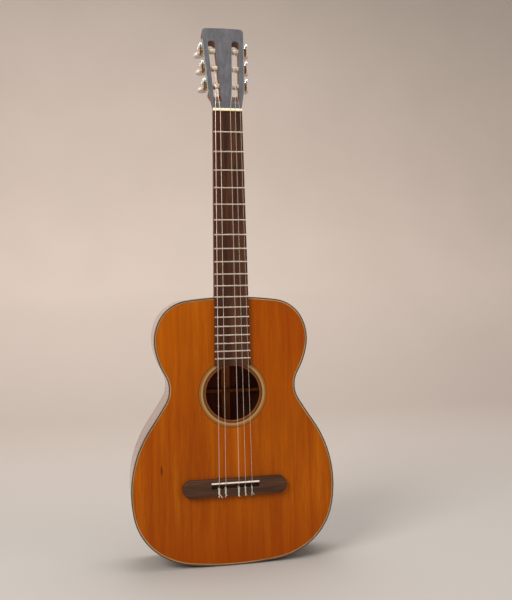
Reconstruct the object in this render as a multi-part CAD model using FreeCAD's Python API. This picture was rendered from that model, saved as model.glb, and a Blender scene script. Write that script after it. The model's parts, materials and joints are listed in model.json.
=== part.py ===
import FreeCAD, Part
import math
import os

# Classical guitar, upright: +Z runs up the neck, the soundboard faces -Y, +X is the treble side.
# Origin: on the centreline, at the lowest point of the body's tail, halfway through the rim's depth.
# All lengths are millimetres.

V = FreeCAD.Vector

# ---- driving dimensions ----
SCALE = 650.0            # string length, nut to saddle
FACE_Y = -49.0           # outer face of the soundboard
TAIL_DEPTH = 98.0        # rim depth at the tail
BACK_TAPER = 6.0         # how much shallower the rim is where it meets the neck
BACK_ARCH_R = 4500.0     # cross arch of the back
TOP_T = 2.5              # soundboard thickness
BACK_T = 2.5             # back thickness
SIDE_T = 2.2             # side thickness, and binding width
BIND_H = 6.0             # binding height on the rim
HOLE_R = 48.1            # sound hole
HOLE_BELOW_NUT = 494.3   # sound hole centre, measured down from the nut
ROSETTE_IN = 49.2        # rosette ring, inner and outer radius
ROSETTE_OUT = 61.4
ROSETTE_T = 1.2
NUT_W = 51.0             # fingerboard width at the nut
JOINT_W = 60.0           # fingerboard width at the 12th fret, where the body starts
BOARD_T = 6.5            # fingerboard thickness
FRETS = 19
FRET_W = 2.4
FRET_H = 1.0
TANG_W = 0.6
TANG_D = 2.0
NUT_T = 5.0
NUT_H = 9.4
NUT_ACTION = 0.8         # string underside above the fret tops, at the nut
SADDLE_ACTION = 4.8      # the same, at the saddle
HEAD_TILT = 15.0         # degrees
HEAD_LEN = 158.0
HEAD_T = 16.0
VENEER_T = 3.0
HEAD_ROOT = 30.0         # length over which the neck's round back fades into the flat head
HEAD_ROOT_HALF = 31.2    # half width of the head where its straight sides start
SIDE_TAPER = 3.0         # degrees, each straight side of the head
HEAD_CORNER_R = 7.0
ROLLER_PITCH = 35.0
ROLLER_MID = 81.5        # middle roller, up the head from the nut
ROLLER_DEPTH = 6.5       # roller axis behind the wood's face
SLOT_W = 13.0
SLOT_IN = 14.8           # slot centreline, inboard of the head's edge
SLOT_TOP = 51.5          # slot ends, from the middle roller
SLOT_LOW = -51.5
RAMP_LOW = -73.0
BRIDGE_LEN = 185.0
BRIDGE_W = 30.8
BRIDGE_Z = 138.7
BRIDGE_H = 9.5
SADDLE_LEN = 84.0
SADDLE_T = 2.6
TIE_Z = 137.5            # front wall of the tie block
CHANNEL_Z = 144.2        # front wall of the channel behind the saddle
CHANNEL_FLOOR = 2.5
TIE_HOLE_R = 1.0
TIE_HOLE_H = 4.2         # tie holes above the soundboard
NUT_SPREAD = 44.0        # outer string centres at the nut
SADDLE_SPREAD = 58.0     # outer string centres at the saddle

# Tuning machines: 14-tooth brass gear on the roller, single-start worm on the button's shaft.
TEETH = 14
MODULE = 0.8
LEAD = math.pi * MODULE
GEAR_OUT_R = 6.3
GEAR_ROOT_R = 4.65
GEAR_T = 2.6
WORM_PITCH_R = 2.8
WORM_OUT_R = 3.5
WORM_ROOT_R = 1.85
CENTRES = 8.4            # gear axis to worm axis
WORM_X = 5.2             # worm axis outside the head's edge
PLATE_T = 1.3
PLATE_HALF = 7.5
JOURNAL_R = 3.0
ROLLER_R = 5.0
RUN_FIT = 0.05           # radial clearance of every running fit
SHAFT_R = 1.5

# Body outline: tangent arcs through these joints, neck end first, X and Z of one half.
# The last arc is centred on the centreline and closes the tail.
OUTLINE = [(0.0, 471.5), (80.0, 466.0), (127.0, 433.0), (135.0, 382.0), (118.5, 337.0),
           (119.0, 287.0), (145.0, 247.0), (176.0, 92.5), (131.0, 25.5), (78.0, 5.0)]

# Strings: number and radius.
# The 4th string is absent: its roller, its nut notch and its tie hole are empty.
STRINGS = {1: 0.36, 2: 0.42, 3: 0.52, 5: 0.45, 6: 0.55}
STRING_NODES = {1: "string_1_high_e", 2: "string_2_b", 3: "string_3_g", 5: "string_5_a",
                6: "string_6_low_e"}


# ---- outline ----
def outline_arcs():
    """Tangent arcs of one half as (start, end, centre, turns_right), in X and Z."""
    arcs = []
    p = OUTLINE[0]
    d = (1.0, 0.0)
    for q in OUTLINE[1:]:
        v = (q[0] - p[0], q[1] - p[1])
        n = (-d[1], d[0])
        across = v[0] * n[0] + v[1] * n[1]
        along = v[0] * d[0] + v[1] * d[1]
        r = (v[0] ** 2 + v[1] ** 2) / (2.0 * across)
        c = (p[0] + n[0] * r, p[1] + n[1] * r)
        arcs.append((p, q, c, r < 0))
        turn = 2.0 * math.atan2(across, along)
        d = (d[0] * math.cos(turn) - d[1] * math.sin(turn),
             d[0] * math.sin(turn) + d[1] * math.cos(turn))
        p = q
    n = (-d[1], d[0])
    c = (0.0, p[1] - n[1] * p[0] / n[0])
    low = c[1] - math.hypot(p[0], p[1] - c[1])
    arcs.append((p, (0.0, low), c, True))
    lift = -low
    raised = []
    for a, b, c, right in arcs:
        raised.append(((a[0], a[1] + lift), (b[0], b[1] + lift), (c[0], c[1] + lift), right))
    return raised


ARCS = outline_arcs()
BODY_TOP = ARCS[0][0][1]
NUT_Z = BODY_TOP + SCALE / 2.0
SADDLE_Z = NUT_Z - SCALE
HOLE_Z = NUT_Z - HOLE_BELOW_NUT
BACK_Y = FACE_Y + TAIL_DEPTH
FRET_TOP_Y = FACE_Y - BOARD_T - FRET_H


def arc_edges(inset, y, sign):
    """The half outline moved inwards by inset, as edges running from neck to tail."""
    edges = []
    for a, b, c, right in ARCS:
        r = math.hypot(a[0] - c[0], a[1] - c[1])
        k = (r - inset) / r if right else (r + inset) / r
        a0 = math.atan2(a[1] - c[1], a[0] - c[0])
        a1 = math.atan2(b[1] - c[1], b[0] - c[0])
        turn = (a1 - a0 + math.pi) % (2.0 * math.pi) - math.pi
        am = a0 + turn / 2.0
        pa = V(sign * (c[0] + (a[0] - c[0]) * k), y, c[1] + (a[1] - c[1]) * k)
        pb = V(sign * (c[0] + (b[0] - c[0]) * k), y, c[1] + (b[1] - c[1]) * k)
        pm = V(sign * (c[0] + r * k * math.cos(am)), y, c[1] + r * k * math.sin(am))
        if abs(pa.x) < 1e-6:
            pa.x = 0.0
        if abs(pb.x) < 1e-6:
            pb.x = 0.0
        edges.append(Part.Arc(pa, pm, pb).toShape())
    return edges


def line(p, q):
    return Part.LineSegment(p, q).toShape()


def body_prism(inset, y0, y1):
    """Whole body outline, moved inwards by inset, from y0 to y1."""
    edges = arc_edges(inset, y0, 1) + arc_edges(inset, y0, -1)
    wire = Part.Wire(Part.__sortEdges__(edges))
    return Part.Face(wire).extrude(V(0, y1 - y0, 0))


def half_prism(inset, y0, y1, sign):
    """One half of the body outline, closed along the centreline."""
    edges = arc_edges(inset, y0, sign)
    top = edges[0].Vertexes[0].Point
    low = edges[-1].Vertexes[-1].Point
    if abs(top.x) > 1e-6:
        top = edges[0].Vertexes[-1].Point
    if abs(low.x) > 1e-6:
        low = edges[-1].Vertexes[0].Point
    wire = Part.Wire(Part.__sortEdges__(edges + [line(low, top)]))
    return Part.Face(wire).extrude(V(0, y1 - y0, 0))


def box(x0, x1, y0, y1, z0, z1):
    return Part.makeBox(x1 - x0, y1 - y0, z1 - z0, V(x0, y0, z0))


def under_back(depth):
    """Everything in front of the arched, tapered back surface moved forwards by depth."""
    yc = BACK_Y - depth
    ye = yc - BACK_ARCH_R + math.sqrt(BACK_ARCH_R ** 2 - 230.0 ** 2)
    a = V(-230, -70, -60)
    b = V(230, -70, -60)
    c = V(230, ye, -60)
    d = V(-230, ye, -60)
    top = Part.Arc(c, V(0, yc, -60), d).toShape()
    face = Part.Face(Part.Wire([line(a, b), line(b, c), top, line(d, a)]))
    solid = face.extrude(V(0, 0, 620))
    tilt = math.degrees(math.atan(BACK_TAPER / BODY_TOP))
    solid.rotate(V(0, BACK_Y, 0), V(1, 0, 0), tilt)
    return solid


def rod(p, q, r):
    """Round bar from p to q."""
    d = q.sub(p)
    return Part.makeCylinder(r, d.Length, p, d)


def fuse(shapes):
    out = shapes[0]
    if len(shapes) > 1:
        out = out.multiFuse(shapes[1:])
    return out.removeSplitter()


os.makedirs("parts", exist_ok=True)


def save(name, shape):
    shape.exportStep("parts/" + name + ".step")


# ---- placement of the tilted head and of the tuning machines on its edges ----
def to_head(shape):
    """From head axes (X across, Y into the head, Z up the head) to the guitar's axes."""
    out = shape.copy()
    out.rotate(V(0, 0, 0), V(1, 0, 0), -HEAD_TILT)
    out.translate(V(0, FACE_Y, NUT_Z + NUT_T))
    return out


EDGE_MID = HEAD_ROOT_HALF + (ROLLER_MID - HEAD_ROOT) * math.tan(math.radians(SIDE_TAPER))


def edge_to_head(shape):
    """From machine axes (X out of the head's treble edge, origin on the middle roller's axis)."""
    out = shape.copy()
    out.rotate(V(0, 0, 0), V(0, 1, 0), SIDE_TAPER)
    out.translate(V(EDGE_MID, ROLLER_DEPTH, ROLLER_MID))
    return out


def mirrored(shape, sign):
    """The bass side is the mirror image of the treble side."""
    if sign > 0:
        return shape
    return shape.mirror(V(0, 0, 0), V(1, 0, 0))


def machine(shape, sign):
    return mirrored(to_head(edge_to_head(shape)), sign)


def head_point(x, y, z):
    t = math.radians(HEAD_TILT)
    return V(x, FACE_Y + y * math.cos(t) + z * math.sin(t),
             NUT_Z + NUT_T - y * math.sin(t) + z * math.cos(t))


def machine_point(x, y, z, sign):
    t = math.radians(SIDE_TAPER)
    hx = EDGE_MID + x * math.cos(t) + z * math.sin(t)
    hz = ROLLER_MID - x * math.sin(t) + z * math.cos(t)
    return head_point(sign * hx, ROLLER_DEPTH + y, hz)


def roller_z(number):
    """Outer strings run to the rollers nearest the nut."""
    rank = {1: -1, 2: 0, 3: 1, 6: -1, 5: 0, 4: 1}[number]
    return rank * ROLLER_PITCH


def side_of(number):
    return 1 if number <= 3 else -1


def across(number, spread):
    return spread / 2.0 - (number - 1) * spread / 5.0


# ---- soundbox ----
back_outer = under_back(0.0)
back_inner = under_back(BACK_T)
bind_line = under_back(BIND_H)
hole = Part.makeCylinder(HOLE_R, 20, V(0, FACE_Y - 5, HOLE_Z), V(0, 1, 0))
channel = Part.makeCylinder(ROSETTE_OUT, ROSETTE_T, V(0, FACE_Y, HOLE_Z), V(0, 1, 0))
channel = channel.cut(Part.makeCylinder(ROSETTE_IN, 10, V(0, FACE_Y - 5, HOLE_Z), V(0, 1, 0)))

halves = []
backs = []
for sgn in (-1, 1):
    plate = half_prism(SIDE_T, FACE_Y, FACE_Y + TOP_T, sgn)
    halves.append(plate.cut(hole).cut(channel))
    board = half_prism(SIDE_T, 0.0, 70.0, sgn).common(back_outer).cut(back_inner)
    backs.append(board)
save("soundboard", Part.makeCompound(halves))
save("back_plate", Part.makeCompound(backs))
save("rosette", channel)

for sgn, name in ((-1, "side_bass"), (1, "side_treble")):
    wall = half_prism(0.0, FACE_Y + BIND_H, 70.0, sgn)
    wall = wall.cut(half_prism(SIDE_T, FACE_Y, 75.0, sgn))
    save(name, wall.common(bind_line))

band = body_prism(0.0, FACE_Y, FACE_Y + BIND_H).cut(body_prism(SIDE_T, FACE_Y - 1, FACE_Y + 10))
save("top_binding", band)
band = body_prism(0.0, 0.0, 70.0).cut(body_prism(SIDE_T, -1.0, 75.0))
save("back_binding", band.common(back_outer).cut(bind_line))

# ---- blocks, linings and braces inside ----
room = body_prism(SIDE_T, FACE_Y + TOP_T, 70.0).common(back_inner)
neck_block = room.common(box(-33, 33, -60, 70, BODY_TOP - 30, BODY_TOP + 5))
foot = room.common(box(-33, 33, 20, 70, BODY_TOP - 62, BODY_TOP - 29))
wedge = Part.Face(Part.makePolygon([V(-34, 20, BODY_TOP - 63), V(-34, 36, BODY_TOP - 63),
                                    V(-34, 20, BODY_TOP - 30), V(-34, 20, BODY_TOP - 63)]))
foot = foot.cut(wedge.extrude(V(68, 0, 0)))
neck_block = fuse([neck_block, foot])
tail_block = room.common(box(-28, 28, -60, 70, -5, 18))
save("neck_block", neck_block)
save("tail_block", tail_block)

LINING_T = 6.0
LINING_H = 13.0
hollow = body_prism(SIDE_T + LINING_T, FACE_Y, 75.0)
rim = room.cut(hollow)
top_lining = rim.common(box(-200, 200, -60, FACE_Y + TOP_T + LINING_H, -10, 500))
back_lining = rim.cut(under_back(BACK_T + LINING_H))
# saw kerfs in the top lining, which leave its foot whole against the soundboard
kerfs = []
for k in range(1, 24):
    z = 18.0 + k * 18.5
    y = FACE_Y + TOP_T + 3.0
    kerfs.append(box(-200, 200, y, y + 30, z, z + 0.8))
top_lining = top_lining.cut(Part.makeCompound(kerfs))
linings = [s.cut(neck_block).cut(tail_block) for s in (top_lining, back_lining)]
save("kerfed_linings", Part.makeCompound([x for s in linings for x in s.Solids]))

inside = body_prism(SIDE_T + LINING_T, FACE_Y + TOP_T, 70.0)
plate_y = FACE_Y + TOP_T
bridge_plate = box(-88, 88, plate_y, plate_y + 2.4, BRIDGE_Z - 14, BRIDGE_Z + 14)
save("bridge_plate", bridge_plate)


def bar(p, q, width, height):
    """Soundboard bar along the line p to q (X and Z), with a slimmer inner edge."""
    d = V(q[0] - p[0], 0, q[1] - p[1])
    n = V(-d.z, 0, d.x).normalize()
    a = V(p[0], plate_y, p[1])
    pts = [a + n * (width / 2), a - n * (width / 2),
           a - n * (width / 5) + V(0, height, 0), a + n * (width / 5) + V(0, height, 0)]
    return Part.Face(Part.makePolygon(pts + [pts[0]])).extrude(d)


bars = [bar((-130, HOLE_Z + 78), (130, HOLE_Z + 78), 12, 16),
        bar((-130, HOLE_Z - 62), (130, HOLE_Z - 62), 12, 16)]
for k in range(-3, 4):
    bars.append(bar((k * 18.0, HOLE_Z - 69), (k * 36.0, 26.0 + 3.2 * k * k), 6, 5))
bars = [b.common(inside).cut(bridge_plate).cut(tail_block) for b in bars]
save("soundboard_braces", Part.makeCompound([s for b in bars for s in b.Solids]))

bars = []
back_room = inside.common(back_inner)
for z in (BODY_TOP - 84, HOLE_Z - 5, HOLE_Z - 170):
    slab = back_room.common(box(-200, 200, 0, 70, z - 3, z + 3))
    bars.append(slab.cut(under_back(BACK_T + 14)))
strip = back_room.common(box(-8, 8, 0, 70, 18, BODY_TOP - 62)).cut(under_back(BACK_T + 3))
strip = strip.cut(Part.makeCompound(bars))
save("back_braces", Part.makeCompound([s for b in bars for s in b.Solids]))
save("back_centre_strip", Part.makeCompound(strip.Solids))

# ---- neck, heel and head ----
def half_width(z):
    return (NUT_W + (JOINT_W - NUT_W) * (NUT_Z - z) / (SCALE / 2.0)) / 2.0


def round_back(z, depth):
    """Neck section at height z: flat top, short straight sides, round back."""
    w = half_width(z)
    lip = 3.0
    a = V(-w, FACE_Y, z)
    b = V(w, FACE_Y, z)
    c = V(w, FACE_Y + lip, z)
    d = V(-w, FACE_Y + lip, z)
    pts = []
    for k in range(0, 7):
        ang = math.pi * k / 6.0
        pts.append(V(w * math.cos(ang), FACE_Y + lip + (depth - lip) * math.sin(ang) ** 0.9, z))
    pts[0] = c
    pts[-1] = d
    curve = Part.BSplineCurve()
    curve.interpolate(pts, InitialTangent=V(0, 1, 0), FinalTangent=V(0, -1, 0))
    return Part.Wire([line(a, b), line(b, c), curve.toShape(), line(d, a)])


def head_outline(y, low):
    """Head outline at depth y from s = low upwards, straight sides and rounded top corners."""
    t = math.tan(math.radians(SIDE_TAPER))
    xt = HEAD_ROOT_HALF + (HEAD_LEN - HEAD_ROOT) * t
    xr = HEAD_ROOT_HALF
    xl = xr + (low - HEAD_ROOT) * ((xr - NUT_W / 2.0) / HEAD_ROOT)
    pts = [V(-xl, y, low)]
    if low < HEAD_ROOT:
        pts.append(V(-xr, y, HEAD_ROOT))
    pts.append(V(-xt, y, HEAD_LEN))
    pts.append(V(0, y, HEAD_LEN + 1.2))
    pts += [V(-p.x, p.y, p.z) for p in reversed(pts[:-1])]
    return Part.Face(Part.makePolygon(pts + [pts[0]]))


def round_corners(solid):
    edges = []
    for e in solid.Edges:
        a = e.Vertexes[0].Point
        b = e.Vertexes[-1].Point
        if abs(a.x - b.x) < 1e-6 and abs(a.z - b.z) < 1e-6 and a.z > 100 and abs(a.x) > 10:
            edges.append(e)
    return solid.makeFillet(HEAD_CORNER_R, edges)


shaft = Part.makeLoft([round_back(BODY_TOP - 20, 18.5), round_back(NUT_Z + NUT_T, 15.6)], True, True)
head = round_corners(head_outline(0, HEAD_ROOT).extrude(V(0, HEAD_T, 0)))


def blend_section(k):
    """Section k of 0..1 between the round neck and the flat head, as one closed polyline."""
    low_w = half_width(NUT_Z + NUT_T)
    pts = []
    n = 24
    for i in range(n + 1):
        ang = math.pi * i / n
        cx = math.cos(ang)
        sy = math.sin(ang)
        x0 = low_w * cx
        y0 = 3.0 + 12.6 * sy ** 0.9
        # the flat head section, walked at the same pace: side, back, side
        m = max(abs(cx), abs(sy))
        x1 = HEAD_ROOT_HALF * cx / m
        y1 = 3.0 + (HEAD_T - 3.0) * sy / m
        p0 = V(x0, FACE_Y + y0, NUT_Z + NUT_T)
        p1 = head_point(x1, y1, HEAD_ROOT)
        pts.append(p0 * (1 - k) + p1 * k)
    a0 = V(low_w, FACE_Y, NUT_Z + NUT_T)
    a1 = head_point(HEAD_ROOT_HALF, 0, HEAD_ROOT)
    b0 = V(-low_w, FACE_Y, NUT_Z + NUT_T)
    b1 = head_point(-HEAD_ROOT_HALF, 0, HEAD_ROOT)
    pts = [a0 * (1 - k) + a1 * k] + pts + [b0 * (1 - k) + b1 * k]
    return Part.makePolygon(pts + [pts[0]])


root = Part.makeLoft([blend_section(0.0), blend_section(1.0)], True, True)


def heel_section(y, half, reach):
    """Heel slice at depth y: flat against the body, rounded towards the nut."""
    z0 = BODY_TOP - 12
    z1 = BODY_TOP + reach
    pts = [V(half, y, z0 + 12 + reach * 0.25), V(half * 0.86, y, BODY_TOP + reach * 0.62),
           V(half * 0.5, y, BODY_TOP + reach * 0.93), V(0, y, z1),
           V(-half * 0.5, y, BODY_TOP + reach * 0.93), V(-half * 0.86, y, BODY_TOP + reach * 0.62),
           V(-half, y, z0 + 12 + reach * 0.25)]
    curve = Part.BSplineCurve()
    curve.interpolate(pts, InitialTangent=V(0, 0, 1), FinalTangent=V(0, 0, -1))
    a = V(half, y, z0)
    d = V(-half, y, z0)
    return Part.Wire([line(d, a), line(a, pts[0]), curve.toShape(), line(pts[-1], d)])


HEEL_END = BACK_Y - BACK_TAPER - 2.5
slices = [(FACE_Y + 6, 28.6, 74), (FACE_Y + 14, 26.0, 52), (FACE_Y + 24, 22.5, 35),
          (FACE_Y + 42, 18.5, 23), (FACE_Y + 64, 15.8, 17), (HEEL_END, 14.0, 14)]
heel = Part.makeLoft([heel_section(*s) for s in slices], True, False)
body_block = body_prism(0.0, -60, 80)
cap = Part.Face(heel_section(HEEL_END, 14.0, 14)).extrude(V(0, 2.5, 0)).cut(body_block)
save("heel_cap", cap)

slot = box(-SLOT_IN - SLOT_W / 2, -SLOT_IN + SLOT_W / 2, -20, 20, SLOT_LOW + 6.5, SLOT_TOP - 6.5)
ends = [Part.makeCylinder(SLOT_W / 2, 40, V(-SLOT_IN, -20, z), V(0, 1, 0))
        for z in (SLOT_LOW + 6.5, SLOT_TOP - 6.5)]
y_face = -ROLLER_DEPTH - VENEER_T - 0.5
y_back = HEAD_T - ROLLER_DEPTH + 0.5
ramp = Part.Face(Part.makePolygon([V(-SLOT_IN - 6.5, y_face, RAMP_LOW),
                                   V(-SLOT_IN - 6.5, y_face, SLOT_LOW + 8),
                                   V(-SLOT_IN - 6.5, y_back, SLOT_LOW + 8),
                                   V(-SLOT_IN - 6.5, y_back, SLOT_LOW + 4),
                                   V(-SLOT_IN - 6.5, y_face, RAMP_LOW)]))
ramp = ramp.extrude(V(SLOT_W, 0, 0))
slot = fuse([slot, ramp] + ends)

PLATE_SCREWS = (-46.5, -14.0, 21.0, 53.0)
holes = []
for k in (-1, 0, 1):
    z = k * ROLLER_PITCH
    holes.append(rod(V(-28.6, 0, z), V(1, 0, z), JOURNAL_R + RUN_FIT))
for z in PLATE_SCREWS:
    holes.append(rod(V(-7.0, 0, z), V(1, 0, z), 1.1))
veneer = head_outline(-VENEER_T, -6.0)
veneer = round_corners(veneer.extrude(V(0, VENEER_T, 0)))
veneer = to_head(veneer).cut(box(-60, 60, -80, 0, NUT_Z - 20, NUT_Z + NUT_T))
neck = fuse([shaft.cut(body_block), root, to_head(head), heel.cut(body_block)])
for sgn in (-1, 1):
    neck = neck.cut(machine(slot, sgn))
    veneer = veneer.cut(machine(slot, sgn))
    for h in holes:
        neck = neck.cut(machine(h, sgn))
save("neck", neck)
save("headstock_veneer", veneer)

# ---- fingerboard, frets and nut ----
# the board ends square, level with the top of the sound hole
z_low = HOLE_Z + HOLE_R
wl = half_width(z_low)
corners = [V(-wl, FACE_Y - BOARD_T, z_low), V(wl, FACE_Y - BOARD_T, z_low),
           V(NUT_W / 2, FACE_Y - BOARD_T, NUT_Z), V(-NUT_W / 2, FACE_Y - BOARD_T, NUT_Z)]
fingerboard = Part.Face(Part.makePolygon(corners + [corners[0]])).extrude(V(0, BOARD_T, 0))
frets = []
for n in range(1, FRETS + 1):
    z = NUT_Z - SCALE * (1.0 - 2.0 ** (-n / 12.0))
    w = half_width(z)
    y = FACE_Y - BOARD_T
    tang = box(-w, w, y, y + TANG_D, z - TANG_W / 2, z + TANG_W / 2)
    a = V(-w, y, z - FRET_W / 2)
    b = V(-w, y, z + FRET_W / 2)
    arc = Part.Arc(a, V(-w, y - FRET_H, z), b).toShape()
    crown = Part.Face(Part.Wire([arc, line(b, a)])).extrude(V(2 * w, 0, 0))
    frets.append(fuse([tang, crown]))
    fingerboard = fingerboard.cut(tang)
save("fingerboard", fingerboard)
save("frets", Part.makeCompound(frets))

# ---- strings ----
def nut_point(number, r):
    return V(across(number, NUT_SPREAD), FRET_TOP_Y - NUT_ACTION - r, NUT_Z)


def coil_point(number, r):
    """Where the string meets the front of its roller."""
    return machine_point(-SLOT_IN, -(ROLLER_R + 0.12 + r), roller_z(number), side_of(number))


def tube_path(points, r):
    parts = [rod(p, q, r) for p, q in zip(points, points[1:])]
    parts += [Part.makeSphere(r, p) for p in points[1:-1]]
    return parts


SADDLE_TOP = FRET_TOP_Y - SADDLE_ACTION
CREST_R = SADDLE_T / 2.0
BRIDGE_TOP = FACE_Y - BRIDGE_H
BRIDGE_REAR = BRIDGE_Z - BRIDGE_W / 2.0
HOLE_Y = FACE_Y - TIE_HOLE_H


def string(number, r):
    x0 = across(number, NUT_SPREAD)
    x1 = across(number, SADDLE_SPREAD)
    top = BRIDGE_TOP - r - 0.06
    rear = BRIDGE_REAR - r - 0.15
    over_saddle = V(x1, SADDLE_TOP - r, SADDLE_Z - (CREST_R + r) * math.tan(math.radians(26)))
    route = [coil_point(number, r), nut_point(number, r), over_saddle,
             V(x1, HOLE_Y, TIE_Z + 1.2), V(x1, HOLE_Y, rear), V(x1, top, rear),
             V(x1, top, TIE_Z - 0.8), V(x1 + 2.3 * r, top, TIE_Z - 1.2),
             V(x1 + 2.3 * r, top, BRIDGE_REAR - 1.5)]
    parts = tube_path(route, r)
    # the string's turns round the roller, as a plain sleeve clear of the roller
    z = roller_z(number)
    inner = ROLLER_R + 0.1
    length = 5 * 2 * r
    start = V(-SLOT_IN - length / 2, 0, z)
    end = V(-SLOT_IN + length / 2, 0, z)
    sleeve = rod(start, end, inner + 2 * r + 0.04).cut(rod(start, end, inner))
    parts.append(machine(sleeve, side_of(number)))
    return fuse(parts)


for number, r in STRINGS.items():
    save(STRING_NODES[number], string(number, r))

# ---- nut, bridge and saddle ----
w = NUT_W / 2.0
y = FACE_Y
profile = [V(-w, y, NUT_Z), V(-w, y - NUT_H, NUT_Z), V(-w, y - NUT_H + 0.5, NUT_Z + 1.8),
           V(-w, y - NUT_H + 2.6, NUT_Z + NUT_T), V(-w, y, NUT_Z + NUT_T)]
nut = Part.Face(Part.makePolygon(profile + [profile[0]])).extrude(V(2 * w, 0, 0))
for number in range(1, 7):
    r = STRINGS.get(number, 0.38)
    notch_r = r + 0.05
    p = nut_point(number, r)
    q = coil_point(number, r)
    d = q.sub(p).normalize()
    a = p - d * 3
    b = p + d * 12
    groove = rod(a, b, notch_r)
    up = V(0, -6, 0)
    side = V(-notch_r, 0, 0)
    wall = Part.Face(Part.makePolygon([a + side, b + side, b + side + up, a + side + up, a + side]))
    nut = nut.cut(fuse([groove, wall.extrude(V(2 * notch_r, 0, 0))]))
save("nut", nut)

cx = BRIDGE_LEN / 2.0 - BRIDGE_W / 2.0
rb = BRIDGE_W / 2.0
p1 = V(-cx, FACE_Y, BRIDGE_Z + rb)
p2 = V(cx, FACE_Y, BRIDGE_Z + rb)
p3 = V(cx, FACE_Y, BRIDGE_Z - rb)
p4 = V(-cx, FACE_Y, BRIDGE_Z - rb)
plan = Part.Wire([line(p1, p2), Part.Arc(p2, V(cx + rb, FACE_Y, BRIDGE_Z), p3).toShape(),
                  line(p3, p4), Part.Arc(p4, V(-cx - rb, FACE_Y, BRIDGE_Z), p1).toShape()])
bridge = Part.Face(plan).extrude(V(0, -BRIDGE_H, 0))
rim_edges = [e for e in bridge.Edges if all(abs(v.Point.y - BRIDGE_TOP) < 1e-6 for v in e.Vertexes)]
bridge = bridge.makeFillet(2.2, rim_edges)
hs = SADDLE_LEN / 2.0
saddle_floor = FACE_Y - 4.5
saddle_box = box(-hs, hs, SADDLE_TOP + CREST_R, saddle_floor, SADDLE_Z - CREST_R, SADDLE_Z + CREST_R)
crest = rod(V(-hs, SADDLE_TOP + CREST_R, SADDLE_Z), V(hs, SADDLE_TOP + CREST_R, SADDLE_Z), CREST_R)
saddle = fuse([saddle_box, crest])
bridge = bridge.cut(box(-hs, hs, -80, saddle_floor, SADDLE_Z - CREST_R, SADDLE_Z + CREST_R))
bridge = bridge.cut(box(-hs, hs, -80, FACE_Y - CHANNEL_FLOOR, TIE_Z, CHANNEL_Z))
for number in range(1, 7):
    x = across(number, SADDLE_SPREAD)
    bridge = bridge.cut(rod(V(x, HOLE_Y, BRIDGE_REAR - 2), V(x, HOLE_Y, TIE_Z + 1), TIE_HOLE_R))
save("bridge", bridge)
save("saddle", saddle)

# ---- tuning machines ----
def gear_blank():
    """Brass gear about the X axis; a tooth gap faces +Z, where the worm sits."""
    half_pitch = 0.45 / (MODULE * TEETH / 2.0)
    half_tip = 0.26 / GEAR_OUT_R
    half_root = 0.62 / GEAR_ROOT_R
    pts = []
    for k in range(TEETH):
        c = 2.0 * math.pi * (k + 0.5) / TEETH
        for r, h in ((GEAR_ROOT_R, -half_root), (MODULE * TEETH / 2.0, -half_pitch),
                     (GEAR_OUT_R, -half_tip), (GEAR_OUT_R, half_tip),
                     (MODULE * TEETH / 2.0, half_pitch), (GEAR_ROOT_R, half_root)):
            pts.append(V(WORM_X - GEAR_T / 2, r * math.sin(c + h), r * math.cos(c + h)))
    wheel = Part.Face(Part.makePolygon(pts + [pts[0]])).extrude(V(GEAR_T, 0, 0))
    boss = rod(V(PLATE_T + 0.1, 0, 0), V(WORM_X - GEAR_T / 2, 0, 0), 3.6)
    wheel = fuse([wheel, boss])
    return wheel.cut(rod(V(0, 0, 0), V(10, 0, 0), 2.4))


def worm_blank():
    """Worm, shaft, front cap and rear collar about the Y axis, one thread turn facing the gear."""
    helix = Part.makeHelix(LEAD, LEAD * 6, WORM_PITCH_R)
    helix.translate(V(0, 0, -LEAD * 3))
    z0 = -LEAD * 3
    slope = math.tan(math.radians(17))
    rr = WORM_ROOT_R - 0.15
    hr = 0.45 + (WORM_PITCH_R - rr) * slope
    ho = 0.45 - (WORM_OUT_R - WORM_PITCH_R) * slope
    pts = [V(rr, 0, z0 - hr), V(WORM_OUT_R, 0, z0 - ho), V(WORM_OUT_R, 0, z0 + ho), V(rr, 0, z0 + hr)]
    thread = Part.Wire(helix.Edges).makePipeShell([Part.makePolygon(pts + [pts[0]])], True, True)
    keep = Part.makeCylinder(WORM_OUT_R + 1, 11.2, V(0, 0, -5.6))
    thread = thread.common(keep)
    core = Part.makeCylinder(WORM_ROOT_R, 11.4, V(0, 0, -5.7))
    shaft = Part.makeCylinder(SHAFT_R, 38.5, V(0, 0, -8.5))
    cap = Part.makeCylinder(2.7, 1.9, V(0, 0, -9.6))
    dome = Part.makeSphere(4.2, V(0, 0, -7.4)).common(Part.makeCylinder(2.7, 3, V(0, 0, -12.6)))
    collar = Part.makeCylinder(2.3, 3.2, V(0, 0, 7.7))
    worm = fuse([core, thread, shaft, cap, dome, collar])
    turn = FreeCAD.Matrix(0, -1, 0, WORM_X, 0, 0, 1, 0, -1, 0, 0, CENTRES, 0, 0, 0, 1)
    return worm.transformGeometry(turn)


def button_blank():
    """Oval button on the end of the worm's shaft, behind the head."""
    plan = Part.Ellipse(V(0, 0, 0), 9.2, 7.2).toShape()
    face = Part.Face(Part.Wire(plan))
    body = face.extrude(V(0, 0, 7.6))
    body.translate(V(0, 0, -3.8))
    body = body.makeFillet(3.0, [e for e in body.Edges if e.Closed and abs(e.BoundBox.ZLength) < 1e-3])
    neck_part = Part.makeCone(2.6, 3.4, 6.0, V(0, -10.2, 0), V(0, 1, 0))
    body = fuse([body, neck_part])
    body.translate(V(WORM_X, 27.0, CENTRES))
    bore = rod(V(WORM_X, 10, CENTRES), V(WORM_X, 30.0, CENTRES), SHAFT_R)
    return body.cut(bore)


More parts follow.
